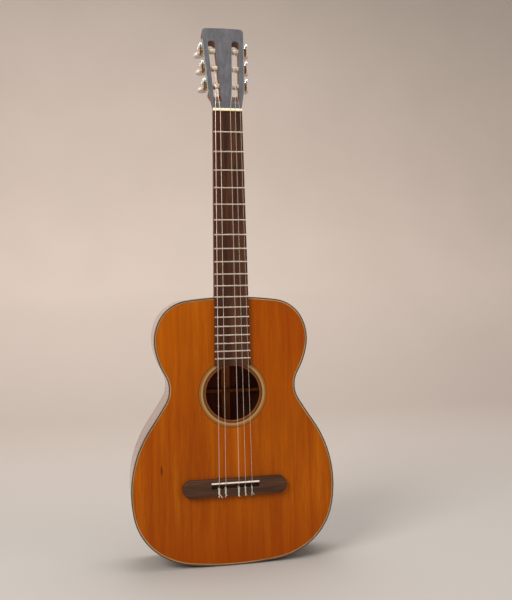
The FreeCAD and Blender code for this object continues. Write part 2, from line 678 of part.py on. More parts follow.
gear_unit = gear_blank()
worm_unit = worm_blank()
button_unit = button_blank()
roller_unit = fuse([rod(V(-SLOT_IN - 6.35, 0, 0), V(-SLOT_IN + 6.35, 0, 0), ROLLER_R),
                    rod(V(-28.4, 0, 0), V(PLATE_T + 0.1, 0, 0), JOURNAL_R),
                    rod(V(0, 0, 0), V(WORM_X + GEAR_T / 2, 0, 0), 2.4)])
roller_unit = roller_unit.cut(rod(V(-SLOT_IN + 4.3, -8, 0), V(-SLOT_IN + 4.3, 8, 0), 0.8))
roller_unit = roller_unit.cut(rod(V(2, 0, 0), V(10, 0, 0), 0.9))
xe = WORM_X + GEAR_T / 2
screw_unit = fuse([Part.makeCylinder(3.1, 0.9, V(xe, 0, 0), V(1, 0, 0)),
                   rod(V(2.2, 0, 0), V(xe, 0, 0), 0.9)])
screw_unit = screw_unit.cut(box(xe + 0.45, xe + 2, -4, 4, -0.4, 0.4))

plate = box(0, PLATE_T, -PLATE_HALF, PLATE_HALF, -50.0, 57.0)
ears = []
for k in (-1, 0, 1):
    z = k * ROLLER_PITCH + CENTRES
    for y0 in (-7.5, 5.95):
        tab = box(0.6, WORM_X, y0, y0 + 1.55, z - 3.4, z + 3.4)
        ears.append(fuse([tab, rod(V(WORM_X, y0, z), V(WORM_X, y0 + 1.55, z), 3.4)]))
plate = fuse([plate] + ears)
for k in (-1, 0, 1):
    z = k * ROLLER_PITCH
    plate = plate.cut(rod(V(-1, 0, z), V(PLATE_T + 0.05, 0, z), JOURNAL_R + RUN_FIT))
    plate = plate.cut(rod(V(WORM_X, -9, z + CENTRES), V(WORM_X, 9, z + CENTRES), SHAFT_R + RUN_FIT))
plate_screws = []
for z in PLATE_SCREWS:
    plate = plate.cut(rod(V(-1, 0, z), V(3, 0, z), 1.1))
    head_part = Part.makeSphere(2.6, V(PLATE_T - 1.2, 0, z)).common(
        box(PLATE_T, PLATE_T + 3, -4, 4, z - 4, z + 4))
    head_part = head_part.cut(box(PLATE_T + 0.8, PLATE_T + 3, -4, 4, z - 0.35, z + 0.35))
    plate_screws.append(fuse([head_part, rod(V(-7.0, 0, z), V(PLATE_T, 0, z), 1.1)]))

save("tuner_plate_treble", machine(plate, 1))
save("tuner_plate_bass", machine(plate, -1))
save("tuner_plate_screws", Part.makeCompound([machine(s, k) for k in (-1, 1) for s in plate_screws]))

for number in range(1, 7):
    for name, unit in (("roller", roller_unit), ("gear", gear_unit), ("gear_screw", screw_unit),
                       ("worm", worm_unit), ("button", button_unit)):
        piece = unit.copy()
        piece.translate(V(0, 0, roller_z(number)))
        save("%s_%d" % (name, number), machine(piece, side_of(number)))
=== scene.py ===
import json
import math
import bmesh
import bpy
from mathutils import Matrix, Vector


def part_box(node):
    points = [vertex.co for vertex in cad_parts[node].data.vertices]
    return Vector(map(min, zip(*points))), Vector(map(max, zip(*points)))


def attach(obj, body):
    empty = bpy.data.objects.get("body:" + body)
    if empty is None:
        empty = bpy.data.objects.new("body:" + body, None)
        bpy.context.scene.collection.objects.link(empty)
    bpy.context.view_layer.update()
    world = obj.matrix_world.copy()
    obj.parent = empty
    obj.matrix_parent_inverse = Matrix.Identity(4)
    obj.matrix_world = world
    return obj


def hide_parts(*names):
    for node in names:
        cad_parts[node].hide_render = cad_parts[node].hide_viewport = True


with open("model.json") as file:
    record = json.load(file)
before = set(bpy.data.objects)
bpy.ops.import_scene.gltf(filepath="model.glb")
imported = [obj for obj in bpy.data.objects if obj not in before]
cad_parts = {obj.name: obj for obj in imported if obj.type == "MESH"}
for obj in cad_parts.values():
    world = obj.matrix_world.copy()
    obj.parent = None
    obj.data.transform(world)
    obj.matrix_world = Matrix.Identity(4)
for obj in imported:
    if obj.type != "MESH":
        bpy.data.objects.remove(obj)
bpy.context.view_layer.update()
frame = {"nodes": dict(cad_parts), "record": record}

NODES = frame["nodes"]
ROOT = "guitar"
MM = 0.001

# ---------------------------------------------------------------- camera
cam_data = bpy.data.cameras.new("camera")
cam = bpy.data.objects.new("camera", cam_data)
bpy.context.scene.collection.objects.link(cam)
FACE_Y = -49.0 * MM      # outer face of the soundboard
CAM_DISTANCE = 1.3804    # in front of the soundboard's face
# columns: the camera's right, its up, its back, and where it stands
cam.matrix_world = Matrix(((0.9801, 0.0203, -0.1976, -0.2113),
                           (-0.1977, -0.0009, -0.9803, FACE_Y - CAM_DISTANCE),
                           (-0.0201, 0.9998, 0.0031, 0.4762),
                           (0, 0, 0, 1)))
cam_data.sensor_width = 36.0
cam_data.lens = 47.57
cam_data.shift_x = -0.0204
cam_data.shift_y = -0.0064
cam_data.clip_end = 50.0
bpy.context.scene.camera = cam

# ---------------------------------------------------------------- node helpers


def srgb(r, g, b):
    """A colour from 0-255 display values, as the linear RGBA that shaders take."""
    out = []
    for v in (r, g, b):
        v /= 255.0
        out.append(v / 12.92 if v <= 0.04045 else ((v + 0.055) / 1.055) ** 2.4)
    return (out[0], out[1], out[2], 1.0)


def grey_value(v):
    return (v, v, v, 1)


class Shader:
    """Small wrapper round one material's node tree."""

    # the sockets of a Mix node that are live when it mixes colours
    MIX_IN, MIX_OUT = (0, 6, 7), 2

    def __init__(self, name):
        self.mat = bpy.data.materials.new(name)
        self.mat.use_nodes = True
        self.tree = self.mat.node_tree
        self.bsdf = self.tree.nodes["Principled BSDF"]
        self.coord = self.node("ShaderNodeTexCoord")

    def node(self, kind):
        return self.tree.nodes.new(kind)

    def link(self, a, b):
        self.tree.links.new(a, b)

    def feed(self, sock, value):
        """Links value to the socket if it is a socket too, or else sets it."""
        if hasattr(value, "links"):
            self.link(value, sock)
        else:
            sock.default_value = value

    def set(self, **values):
        for key, value in values.items():
            self.bsdf.inputs[key.replace("_", " ")].default_value = value

    def mapped(self, scale, offset=(0, 0, 0)):
        """Object coordinates, stretched and shifted."""
        m = self.node("ShaderNodeMapping")
        m.inputs["Scale"].default_value = scale
        m.inputs["Location"].default_value = offset
        self.link(self.coord.outputs["Object"], m.inputs["Vector"])
        return m.outputs["Vector"]

    def noise(self, vector, scale=1.0, detail=4.0, rough=0.55, warp=0.0):
        n = self.node("ShaderNodeTexNoise")
        n.inputs["Scale"].default_value = scale
        n.inputs["Detail"].default_value = detail
        n.inputs["Roughness"].default_value = rough
        n.inputs["Distortion"].default_value = warp
        self.link(vector, n.inputs["Vector"])
        return n.outputs["Fac"]

    def ramp(self, fac, stops):
        """Colours by position; stops is a list of (position, RGBA)."""
        r = self.node("ShaderNodeValToRGB")
        els = r.color_ramp.elements
        while len(els) < len(stops):
            els.new(0.5)
        for el, (pos, col) in zip(els, stops):
            el.position = pos
            el.color = col
        self.link(fac, r.inputs["Fac"])
        return r.outputs["Color"]

    def grey(self, fac, low, high, at=(0.3, 0.7)):
        """Brightness low to high while fac goes from at[0] to at[1]."""
        return self.ramp(fac, [(at[0], grey_value(low)), (at[1], grey_value(high))])

    def mix(self, fac, a, b, kind="MIX"):
        m = self.node("ShaderNodeMix")
        m.data_type = "RGBA"
        m.blend_type = kind
        for slot, value in zip(self.MIX_IN, (fac, a, b)):
            self.feed(m.inputs[slot], value)
        return m.outputs[self.MIX_OUT]

    def math(self, op, a, b=0.0, c=0.0):
        m = self.node("ShaderNodeMath")
        m.operation = op
        for value, sock in zip((a, b, c), m.inputs):
            self.feed(sock, value)
        return m.outputs[0]

    def axes(self):
        s = self.node("ShaderNodeSeparateXYZ")
        self.link(self.coord.outputs["Object"], s.inputs[0])
        return s.outputs

    def color(self, socket):
        self.link(socket, self.bsdf.inputs["Base Color"])

    def rough(self, socket):
        self.link(socket, self.bsdf.inputs["Roughness"])

    def bump(self, fac, strength, distance):
        """Adds a layer of relief on top of any that is there already."""
        b = self.node("ShaderNodeBump")
        b.inputs["Strength"].default_value = strength
        b.inputs["Distance"].default_value = distance
        self.link(fac, b.inputs["Height"])
        previous = self.bsdf.inputs["Normal"]
        if previous.links:
            self.link(previous.links[0].from_socket, b.inputs["Normal"])
        self.link(b.outputs["Normal"], self.bsdf.inputs["Normal"])


# how much the pattern is drawn out along the fibres
GRAIN = {"z": (1.0, 1.0, 0.045), "x": (0.05, 1.0, 1.0), "rim": (0.06, 1.0, 0.06)}


def wood(name, dark, mid, light, grain="z", streak=70.0, pores=0.25, rough=(0.22, 0.36),
         coat=0.4, tone=0.5, line=0.0, line_gap=1.4, shine=0.45):
    """Figured wood.

    grain is the way the fibres run, streak the stripes per metre, tone the depth of the
    clouding, line the depth of the growth rings, and line_gap their spacing in mm.
    """
    s = Shader(name)
    stretch = GRAIN[grain]
    wide = s.noise(s.mapped(stretch), streak, 5.0, 0.62, 0.35)
    fine = s.noise(s.mapped(stretch, (3.1, 1.7, 0.4)), streak * 9, 6.0, 0.7)
    cloud = s.noise(s.mapped((1.0, 1.0, 0.35), (0.7, 0.2, 0.9)), 7.0, 3.0, 0.5)
    base = s.ramp(wide, [(0.30, dark), (0.50, mid), (0.70, light)])
    shade = s.grey(fine, 0.74, 1.12, (0.33, 0.68))
    base = s.mix(0.75, base, shade, "MULTIPLY")
    patch = s.grey(cloud, 1.0 - 0.30 * tone, 1.0 + 0.16 * tone, (0.34, 0.66))
    base = s.mix(1.0, base, patch, "MULTIPLY")
    if line > 0:
        x = s.axes()["X"]
        drift = s.noise(s.mapped((1.0, 1.0, 0.05)), 16.0, 2.0, 0.5)
        place = s.math("ADD", s.math("MULTIPLY", x, 1000.0 / line_gap),
                       s.math("MULTIPLY", drift, 9.0))
        ring = s.ramp(s.math("FRACT", place),
                      [(0.0, grey_value(1 - line)), (0.24, grey_value(1)),
                       (0.80, grey_value(1)), (1.0, grey_value(1 - line))])
        base = s.mix(1.0, base, ring, "MULTIPLY")
    s.color(base)
    s.rough(s.grey(fine, rough[0], rough[1]))
    s.set(Coat_Weight=coat, Coat_Roughness=0.12, Specular_IOR_Level=shine)
    s.bump(fine, pores, 0.00025)
    s.bump(wide, pores * 0.5, 0.0006)
    return s


def metal(name, tint, rough=(0.12, 0.30), scratch=0.15, dirt=None):
    """Polished or plated metal with hairlines, clouding and a little grime."""
    s = Shader(name)
    haze = s.noise(s.mapped((1, 1, 1)), 260.0, 5.0, 0.65)
    hair = s.noise(s.mapped((1.0, 1.0, 0.06)), 3200.0, 3.0, 0.5)
    spots = s.noise(s.mapped((1, 1, 1), (2.0, 1.0, 5.0)), 900.0, 4.0, 0.7)
    base = s.mix(s.grey(haze, 0.0, 0.35), tint, tuple(v * 0.72 for v in tint[:3]) + (1,))
    if dirt:
        base = s.mix(s.grey(spots, 0.0, 0.8, (0.52, 0.72)), base, dirt)
    s.color(base)
    s.set(Metallic=1.0)
    s.rough(s.grey(haze, rough[0], rough[1]))
    s.bump(hair, scratch, 0.00004)
    return s


def glossy(name, light, dark, rough=(0.18, 0.34), swirl=90.0, warp=1.2, through=0.0):
    """Moulded plastic or bone with soft mottling; through is how much light it lets in."""
    s = Shader(name)
    cloud = s.noise(s.mapped((1, 1, 1)), swirl, 4.0, 0.6, warp)
    fine = s.noise(s.mapped((1, 1, 1), (4.0, 2.0, 1.0)), 1600.0, 4.0, 0.6)
    base = s.ramp(cloud, [(0.32, dark), (0.66, light)])
    base = s.mix(0.5, base, s.grey(fine, 0.88, 1.05), "MULTIPLY")
    s.color(base)
    s.rough(s.grey(cloud, rough[0], rough[1]))
    s.set(Specular_IOR_Level=0.5, Coat_Weight=0.25, Coat_Roughness=0.15)
    if through > 0:
        s.set(Subsurface_Weight=through, Subsurface_Scale=0.004)
    s.bump(fine, 0.12, 0.00006)
    return s


# ---------------------------------------------------------------- mesh helpers


def add_object(name, verts, faces, material, body=ROOT, smooth=True):
    """A new piece with its normals outwards, riding on body."""
    mesh = bpy.data.meshes.new(name)
    mesh.from_pydata([tuple(v) for v in verts], [], faces)
    mesh.update()
    bm = bmesh.new()
    bm.from_mesh(mesh)
    bmesh.ops.recalc_face_normals(bm, faces=bm.faces)
    bm.to_mesh(mesh)
    bm.free()
    obj = bpy.data.objects.new(name, mesh)
    bpy.context.scene.collection.objects.link(obj)
    mesh.materials.append(material)
    for p in mesh.polygons:
        p.use_smooth = smooth
    if body:
        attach(obj, body)
    return obj


def tube(points, radius, sides=12):
    """Vertices and faces of a closed round tube, with a steady frame along it."""
    pts = [Vector(p) for p in points]
    count = len(pts)
    tangents = []
    for i in range(count):
        a = pts[max(i - 1, 0)]
        b = pts[min(i + 1, count - 1)]
        tangents.append((b - a).normalized())
    up = tangents[0].orthogonal().normalized()
    verts = []
    for i, p in enumerate(pts):
        t = tangents[i]
        up = (up - t * up.dot(t)).normalized()
        side = t.cross(up)
        for k in range(sides):
            a = 2 * math.pi * k / sides
            verts.append(p + up * (radius * math.cos(a)) + side * (radius * math.sin(a)))
    faces = []
    for i in range(count - 1):
        for k in range(sides):
            k2 = (k + 1) % sides
            faces.append((i * sides + k, i * sides + k2,
                          (i + 1) * sides + k2, (i + 1) * sides + k))
    for end, ring in ((pts[0], 0), (pts[-1], count - 1)):
        c = len(verts)
        verts.append(end + (tangents[0] * -0.5 if ring == 0 else tangents[-1] * 0.5) * radius)
        for k in range(sides):
            faces.append((ring * sides + k, ring * sides + (k + 1) % sides, c))
    return verts, faces


def merge(parts):
    """Joins several (verts, faces) into one."""
    verts, faces = [], []
    for v, f in parts:
        base = len(verts)
        verts += v
        faces += [tuple(i + base for i in face) for face in f]
    return verts, faces


def smooth_path(points, step):
    """Rounds a polyline with a Catmull-Rom curve, one point every step or so."""
    pts = [Vector(p) for p in points]
    out = []
    for i in range(len(pts) - 1):
        p0 = pts[max(i - 1, 0)]
        p1, p2 = pts[i], pts[i + 1]
        p3 = pts[min(i + 2, len(pts) - 1)]
        n = max(2, int((p2 - p1).length / step))
        for k in range(n):
            t = k / n
            out.append(0.5 * ((2 * p1) + (p2 - p0) * t
                              + (2 * p0 - 5 * p1 + 4 * p2 - p3) * t * t
                              + (3 * p1 - p0 - 3 * p2 + p3) * t ** 3))
    out.append(pts[-1])
    return out


def dress(node, shader, bevel=0.0):
    """Gives a CAD node its material, and softens its sharp edges by bevel millimetres."""
    obj = NODES[node]
    for slot in obj.material_slots:
        slot.material = shader.mat
    if bevel > 0:
        mod = obj.modifiers.new("edge", "BEVEL")
        mod.width = bevel * MM
        mod.segments = 2
        mod.limit_method = "ANGLE"
        mod.angle_limit = math.radians(40)


# ---------------------------------------------------------------- materials
soundboard_wood = wood("soundboard_wood", srgb(157, 67, 0), srgb(173, 82, 0), srgb(188, 99, 4),
                       streak=60.0, pores=0.05, rough=(0.30, 0.42), coat=0.03, tone=0.55,
                       line=0.12, line_gap=1.5, shine=0.09)
side_wood = wood("side_wood", srgb(84, 40, 28), srgb(112, 56, 38), srgb(138, 76, 54), grain="rim",
                 streak=90.0, pores=0.2, coat=0.9, tone=0.6)
back_wood = wood("back_wood", srgb(76, 28, 10), srgb(108, 42, 16), srgb(134, 58, 24),
                 streak=55.0, pores=0.2, coat=0.0, tone=0.6)
neck_wood = wood("neck_wood", srgb(92, 52, 30), srgb(124, 74, 44), srgb(146, 94, 60),
                 streak=90.0, pores=0.3, rough=(0.42, 0.56), coat=0.05, tone=0.5, shine=0.2)
veneer_wood = wood("head_veneer", srgb(82, 80, 84), srgb(96, 94, 99), srgb(110, 108, 113),
                   streak=150.0, pores=0.2, rough=(0.34, 0.46), coat=0.2, tone=0.25, shine=0.35)
board_wood = wood("fingerboard_wood", srgb(43, 20, 9), srgb(73, 40, 22), srgb(95, 56, 33),
                  streak=170.0, pores=0.45, rough=(0.45, 0.60), coat=0.0, tone=0.6, shine=0.2)
bridge_wood = wood("bridge_wood", srgb(52, 31, 19), srgb(77, 49, 33), srgb(98, 65, 46),
                   grain="x", streak=190.0, pores=0.5, rough=(0.45, 0.60), coat=0.0,
                   tone=0.5, shine=0.2)
inner_wood = wood("inner_wood", srgb(140, 100, 62), srgb(168, 126, 84), srgb(190, 150, 106),
                  streak=80.0, pores=0.3, rough=(0.55, 0.72), coat=0.0, tone=0.4, shine=0.2)
brace_wood = wood("back_brace_wood", srgb(120, 60, 24), srgb(152, 80, 34), srgb(178, 102, 48),
                  streak=80.0, pores=0.3, rough=(0.55, 0.72), coat=0.0, tone=0.4, shine=0.1)
strip_wood = wood("centre_strip_wood", srgb(150, 74, 26), srgb(186, 102, 42), srgb(206, 126, 60),
                  streak=80.0, pores=0.3, rough=(0.55, 0.72), coat=0.0, tone=0.3, shine=0.1)
binding_wood = wood("binding_wood", srgb(64, 42, 28), srgb(86, 60, 40), srgb(106, 78, 56),
                    grain="rim", streak=140.0, pores=0.15, coat=0.4, tone=0.3)
saddle_bone = glossy("saddle_bone", srgb(252, 242, 230), srgb(240, 226, 208),
                     swirl=70.0, through=0.2)
bone = glossy("bone", srgb(240, 224, 186), srgb(226, 204, 160), swirl=70.0, through=0.2)
roller_plastic = glossy("roller_plastic", srgb(232, 224, 200), srgb(206, 194, 164), swirl=160.0)
pearl = glossy("pearl_plastic", srgb(224, 213, 200), srgb(200, 187, 173), rough=(0.10, 0.22),
               swirl=210.0, warp=2.6, through=0.35)
nickel = metal("nickel_plate", srgb(244, 242, 240), (0.12, 0.26), 0.2, srgb(176, 166, 154))
brass = metal("gear_brass", srgb(176, 128, 66), (0.26, 0.46), 0.3, srgb(52, 32, 16))
fret_metal = metal("fret_metal", srgb(238, 224, 208), (0.24, 0.34), 0.1, srgb(206, 188, 168))

KNOT_X, KNOT_Z = -0.1272, 0.1735             # middle of the knot, m
KNOT_HALF_X, KNOT_HALF_Z = 0.0022, 0.0105    # its half width and half height


def polish_outside_only(s):
    """The back is polished outside and bare inside, where its surface faces the sound hole."""
    facing = s.node("ShaderNodeSeparateXYZ")
    s.link(s.coord.outputs["Normal"], facing.inputs[0])
    s.rough(s.grey(facing.outputs["Y"], 0.85, 0.17, (0.0, 0.2)))


def varnish_soundboard(s):
    """Uneven varnish on the top, and the small dark knot on the bass side of the lower bout.

    The upper bout is darker and redder on the treble side and golden on the bass side; the
    tail is redder all the way across.
    """
    ax = s.axes()
    dx = s.math("MULTIPLY", s.math("ADD", ax["X"], -KNOT_X), 1 / KNOT_HALF_X)
    dz = s.math("MULTIPLY", s.math("ADD", ax["Z"], -KNOT_Z), 1 / KNOT_HALF_Z)
    far = s.math("ADD", s.math("MULTIPLY", dx, dx), s.math("MULTIPLY", dz, dz))
    mark = s.grey(far, 0.75, 0.0, (0.15, 1.0))
    flame = s.bsdf.inputs["Base Color"].links[0].from_socket
    patch = s.noise(s.mapped((1.0, 1.0, 0.6), (0.3, 0.0, 0.1)), 9.0, 3.0, 0.5)
    across = s.math("ADD", s.math("MULTIPLY_ADD", ax["X"], 3.0, 0.42),
                    s.math("MULTIPLY_ADD", patch, 0.5, -0.25))
    upper = s.grey(s.math("MULTIPLY", ax["Z"], 2.0), 0.0, 1.0, (0.50, 0.76))
    red = s.math("MULTIPLY", s.grey(across, 0.0, 0.8, (0.35, 1.0)), upper)
    gold = s.math("MULTIPLY", s.grey(across, 0.4, 0.0, (0.0, 0.45)), upper)
    flame = s.mix(red, flame, srgb(150, 60, 0))
    tail_end = s.math("MULTIPLY_ADD", ax["Z"], 4.0, s.math("MULTIPLY", patch, 0.3))
    flame = s.mix(s.grey(tail_end, 0.6, 0.0, (0.15, 0.60)), flame, srgb(146, 56, 0))
    flame = s.mix(gold, flame, srgb(190, 97, 2))
    s.color(s.mix(mark, flame, srgb(70, 26, 8)))


polish_outside_only(back_wood)
varnish_soundboard(soundboard_wood)

# node, material, and how much its sharp edges are softened, mm
for node, shader, bevel in (
        ("soundboard", soundboard_wood, 0.15), ("side_bass", side_wood, 0),
        ("side_treble", side_wood, 0),
        ("back_plate", back_wood, 0.1), ("top_binding", binding_wood, 0.9),
        ("back_binding", binding_wood, 0.9), ("neck", neck_wood, 0.5),
        ("headstock_veneer", veneer_wood, 0.45), ("heel_cap", binding_wood, 0.5),
        ("fingerboard", board_wood, 0.5), ("frets", fret_metal, 0.12), ("nut", bone, 0.2),
        ("bridge", bridge_wood, 0.35), ("saddle", saddle_bone, 0.15),
        ("tuner_plate_bass", nickel, 0.18),
        ("tuner_plate_treble", nickel, 0.18), ("tuner_plate_screws", nickel, 0.1),
        ("neck_block", inner_wood, 0.5), ("tail_block", inner_wood, 0.5),
        ("kerfed_linings", inner_wood, 0.3), ("soundboard_braces", inner_wood, 0.4),
        ("back_braces", brace_wood, 0.6), ("bridge_plate", inner_wood, 0.3),
        ("back_centre_strip", strip_wood, 0.4)):
    dress(node, shader, bevel)
for i in range(1, 7):
    dress("worm_%d" % i, nickel, 0.08)
    dress("gear_%d" % i, brass, 0.06)
    dress("gear_screw_%d" % i, nickel, 0.08)
    dress("roller_%d" % i, roller_plastic, 0.3)
    dress("button_%d" % i, pearl, 0.0)

# ---------------------------------------------------------------- body outline, as in the CAD
OUTLINE = [(0.0, 471.5), (80.0, 466.0), (127.0, 433.0), (135.0, 382.0), (118.5, 337.0),
           (119.0, 287.0), (145.0, 247.0), (176.0, 92.5), (131.0, 25.5), (78.0, 5.0)]


OUTLINE_STEP = 2.0       # between points along an arc


def outline_points(inset):
    """Right half of the body outline moved inwards by inset, neck end first, in mm."""
    arcs = []
    p = Vector(OUTLINE[0])
    d = Vector((1.0, 0.0))
    for q in [Vector(c) for c in OUTLINE[1:]]:
        v = q - p
        n = Vector((-d.y, d.x))
        r = v.length_squared / (2.0 * v.dot(n))
        turn = 2.0 * math.atan2(v.dot(n), v.dot(d))
        arcs.append((p, p + n * r, r < 0, turn))
        d = Vector((d.x * math.cos(turn) - d.y * math.sin(turn),
                    d.x * math.sin(turn) + d.y * math.cos(turn)))
        p = q
    n = Vector((-d.y, d.x))
    c = Vector((0.0, p.y - n.y * p.x / n.x))
    turn = -math.pi / 2 - math.atan2(p.y - c.y, p.x - c.x)
    arcs.append((p, c, True, turn))
    low = c.y - (p - c).length
    out = []
    for k, (a, c, right, turn) in enumerate(arcs):
        r0 = (a - c).length
        r = r0 - inset if right else r0 + inset
        a0 = math.atan2(a.y - c.y, a.x - c.x)
        n = max(2, int(abs(turn) * r0 / OUTLINE_STEP))
        for i in range(n + (k == len(arcs) - 1)):
            t = a0 + turn * i / n
            out.append((c.x + r * math.cos(t), c.y + r * math.sin(t) - low))
    return out


def outline_band(inner, outer, y0, y1):
    """Closed ring between two insets of the whole outline, from y0 to y1 (mm)."""
    rings = []
    for inset in (inner, outer):
        half = outline_points(inset)
        rings.append(half + [(-x, z) for x, z in reversed(half[1:-1])])
    n = len(rings[0])
    verts = []
    for y in (y0, y1):
        for ring in rings:
            verts += [(x * MM, y * MM, z * MM) for x, z in ring]
    faces = []
    for i in range(n):
        j = (i + 1) % n
        a, b, c, d = i, n + i, 2 * n + i, 3 * n + i
        a2, b2, c2, d2 = j, n + j, 2 * n + j, 3 * n + j
        faces += [(a, a2, b2, b), (c, d, d2, c2), (a, c, c2, a2), (b, b2, d2, d)]
    return verts, faces


# purfling lines let into the top just inside the binding
purfle_dark = wood("purfling_dark", srgb(84, 48, 22), srgb(104, 60, 28), srgb(120, 72, 36),
                   grain="rim", streak=200.0, pores=0.1, coat=0.2, tone=0.2, shine=0.2)
purfle_pale = wood("purfling_pale", srgb(156, 116, 68), srgb(178, 136, 84), srgb(198, 156, 104),
                   grain="rim", streak=200.0, pores=0.1, coat=0.2, tone=0.2, shine=0.2)
lip_wood = wood("hole_lip_wood", srgb(112, 72, 40), srgb(134, 88, 50), srgb(152, 104, 62),
                grain="rim", streak=200.0, pores=0.1, coat=0.0, tone=0.2, shine=0.2)
# name, its two edges in from the outline (mm), material
for name, a, b, shader in (("purfling_pale", 2.2, 3.8, purfle_pale),
                           ("purfling_line_inner", 3.8, 4.2, purfle_dark)):
    v, f = outline_band(a, b, -49.06, -48.8)
    line_piece = add_object(name, v, f, shader.mat, smooth=False)

# ---------------------------------------------------------------- rosette
hole_lo, hole_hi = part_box("rosette")
HOLE_Z = (hole_lo[2] + hole_hi[2]) / 2
ROSETTE_IN, ROSETTE_OUT = 49.2, 61.4    # mm from the middle of the hole
LIP_IN, LIP_OUT = 48.2, 48.8            # the pale line at the lip of the hole
TILES = 190                             # small inlaid tiles round the rosette
# inner edge of each ring, and its colour from there outwards
RINGS = ((ROSETTE_IN, srgb(104, 58, 26)), (52.0, srgb(84, 52, 28)), (52.9, srgb(174, 138, 86)),
         (56.8, srgb(96, 62, 32)), (57.2, srgb(160, 92, 26)), (60.1, srgb(62, 30, 12)),
         (61.0, srgb(170, 88, 14)))
RING_START, RING_SPAN = 49.0, 12.6      # radii that the colour ramp covers


def rosette_material():
    s = Shader("rosette_inlay")
    ax = s.axes()
    rz = s.math("SUBTRACT", ax["Z"], HOLE_Z)
    radius = s.math("SQRT", s.math("ADD", s.math("MULTIPLY", ax["X"], ax["X"]),
                                   s.math("MULTIPLY", rz, rz)))
    angle = s.math("ARCTAN2", rz, ax["X"])
    span = s.math("MULTIPLY_ADD", radius, 1000.0 / RING_SPAN, -RING_START / RING_SPAN)
    bands = s.ramp(span, [((r - RING_START) / RING_SPAN, c) for r, c in RINGS])
    bands.node.color_ramp.interpolation = "CONSTANT"
    tiles = s.math("FRACT", s.math("MULTIPLY", angle, TILES / (2 * math.pi)))
    check = s.grey(tiles, 0.86, 1.05, (0.40, 0.62))
    base = s.mix(0.8, bands, check, "MULTIPLY")
    fine = s.noise(s.mapped((1, 1, 1)), 900.0, 4.0, 0.6)
    s.color(s.mix(0.5, base, s.grey(fine, 0.8, 1.1), "MULTIPLY"))
    s.rough(s.grey(fine, 0.22, 0.36))
    s.set(Coat_Weight=0.1, Coat_Roughness=0.15, Specular_IOR_Level=0.2)
    s.bump(fine, 0.1, 0.0001)
    return s


def ring_mesh(r0, r1, y0, y1):
    """Flat ring round the sound hole between two radii and two depths (mm)."""
    steps = 240
    verts, faces = [], []
    for r, y in ((r0, y0), (r1, y0), (r1, y1), (r0, y1)):
        for k in range(steps):
            a = 2 * math.pi * k / steps
            verts.append((r * MM * math.cos(a), y * MM, HOLE_Z + r * MM * math.sin(a)))
    for q in range(4):
        q2 = (q + 1) % 4
        for k in range(steps):
            k2 = (k + 1) % steps
            faces.append((q * steps + k, q * steps + k2, q2 * steps + k2, q2 * steps + k))
    return verts, faces


v, f = ring_mesh(ROSETTE_IN, ROSETTE_OUT, -49.03, -47.85)
rosette = add_object("rosette_inlay", v, f, rosette_material().mat, smooth=False)
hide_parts("rosette")
v, f = ring_mesh(LIP_IN, LIP_OUT, -49.05, -48.6)
lip = add_object("sound_hole_lip", v, f, lip_wood.mat, smooth=False)

# ---------------------------------------------------------------- strings
saddle_lo, saddle_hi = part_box("saddle")
bridge_lo, bridge_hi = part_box("bridge")
NUT_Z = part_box("nut")[0][2]
SADDLE_Z = (saddle_lo[2] + saddle_hi[2]) / 2
SADDLE_TOP = saddle_lo[1]
FRET_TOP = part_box("frets")[0][1]
HOLE_Y = bridge_hi[1] - 4.2 * MM         # the tie holes' height over the soundboard
BRIDGE_TOP = bridge_lo[1]
BRIDGE_REAR = bridge_lo[2]
TIE_Z = BRIDGE_REAR + 14.2 * MM          # front of the tie block
NUT_FIRST, NUT_GAP = 22.0, 8.8           # string 1 from the middle, and the spacing, mm
SADDLE_FIRST, SADDLE_GAP = 29.0, 11.6
NUT_ACTION = 0.8                         # string over the fret tops at the nut, mm
CREST_R = 1.3                            # half the saddle's thickness, mm
SADDLE_BREAK = math.radians(26)          # half the string's bend over the saddle
COIL_FROM_GEAR = 14.8                    # first turn on the roller, from the joint, mm
COIL_R = 5.12                            # roller's radius and the turns' clearance, mm
COIL_STEPS = 28                          # points in one turn
# radii in mm; the fourth string is missing
GAUGE = {1: 0.36, 2: 0.42, 3: 0.52, 5: 0.45, 6: 0.55}
STRING_NODE = {1: "string_1_high_e", 2: "string_2_b", 3: "string_3_g",
               5: "string_5_a", 6: "string_6_low_e"}
JOINTS = {j["name"]: j for j in frame["record"]["behaviour"]["joints"]}
TILT = math.radians(15)                  # the head leans back
UP_HEAD = Vector((0, math.sin(TILT), math.cos(TILT)))
INTO_HEAD = Vector((0, math.cos(TILT), -math.sin(TILT)))


def wound_shader(name, tint, dirt, pitch):
    """Metal winding on a bass string, seen as close grooves; pitch is their spacing, m."""
    s = metal(name, tint, (0.26, 0.42), 0.1, dirt)
    z = s.axes()["Z"]
    wave = s.math("SINE", s.math("MULTIPLY", z, 2 * math.pi / pitch))
    groove = s.grey(s.math("MULTIPLY_ADD", wave, 0.5, 0.5), 0.0, 1.0, (0.0, 1.0))
    s.bump(groove, 0.55, 0.00008)
    return s


wound = wound_shader("wound_string", srgb(246, 222, 206), srgb(206, 170, 146), 0.00034)
nylon = glossy("nylon_string", srgb(244, 232, 218), srgb(226, 208, 190), rough=(0.16, 0.28),
               swirl=300.0)
nylon.set(Alpha=0.34)
tied = glossy("tied_string_end", srgb(250, 240, 228), srgb(226, 210, 196), rough=(0.22, 0.36),
              swirl=300.0, through=0.3)


# tied ends: turns of the twist, its half width, and how far the loose end strays
# across and back (mm)
KNOTS = {1: (0.5, 0.42, 4.0, 4.5), 2: (1.3, 0.75, 2.7, 4.5), 3: (1.6, 1.15, 2.2, 6.0),
         5: (2.4, 1.1, 1.6, 3.4), 6: (2.4, 1.15, 5.4, 6.3)}


TWIST_STEPS = 36         # points along the twist


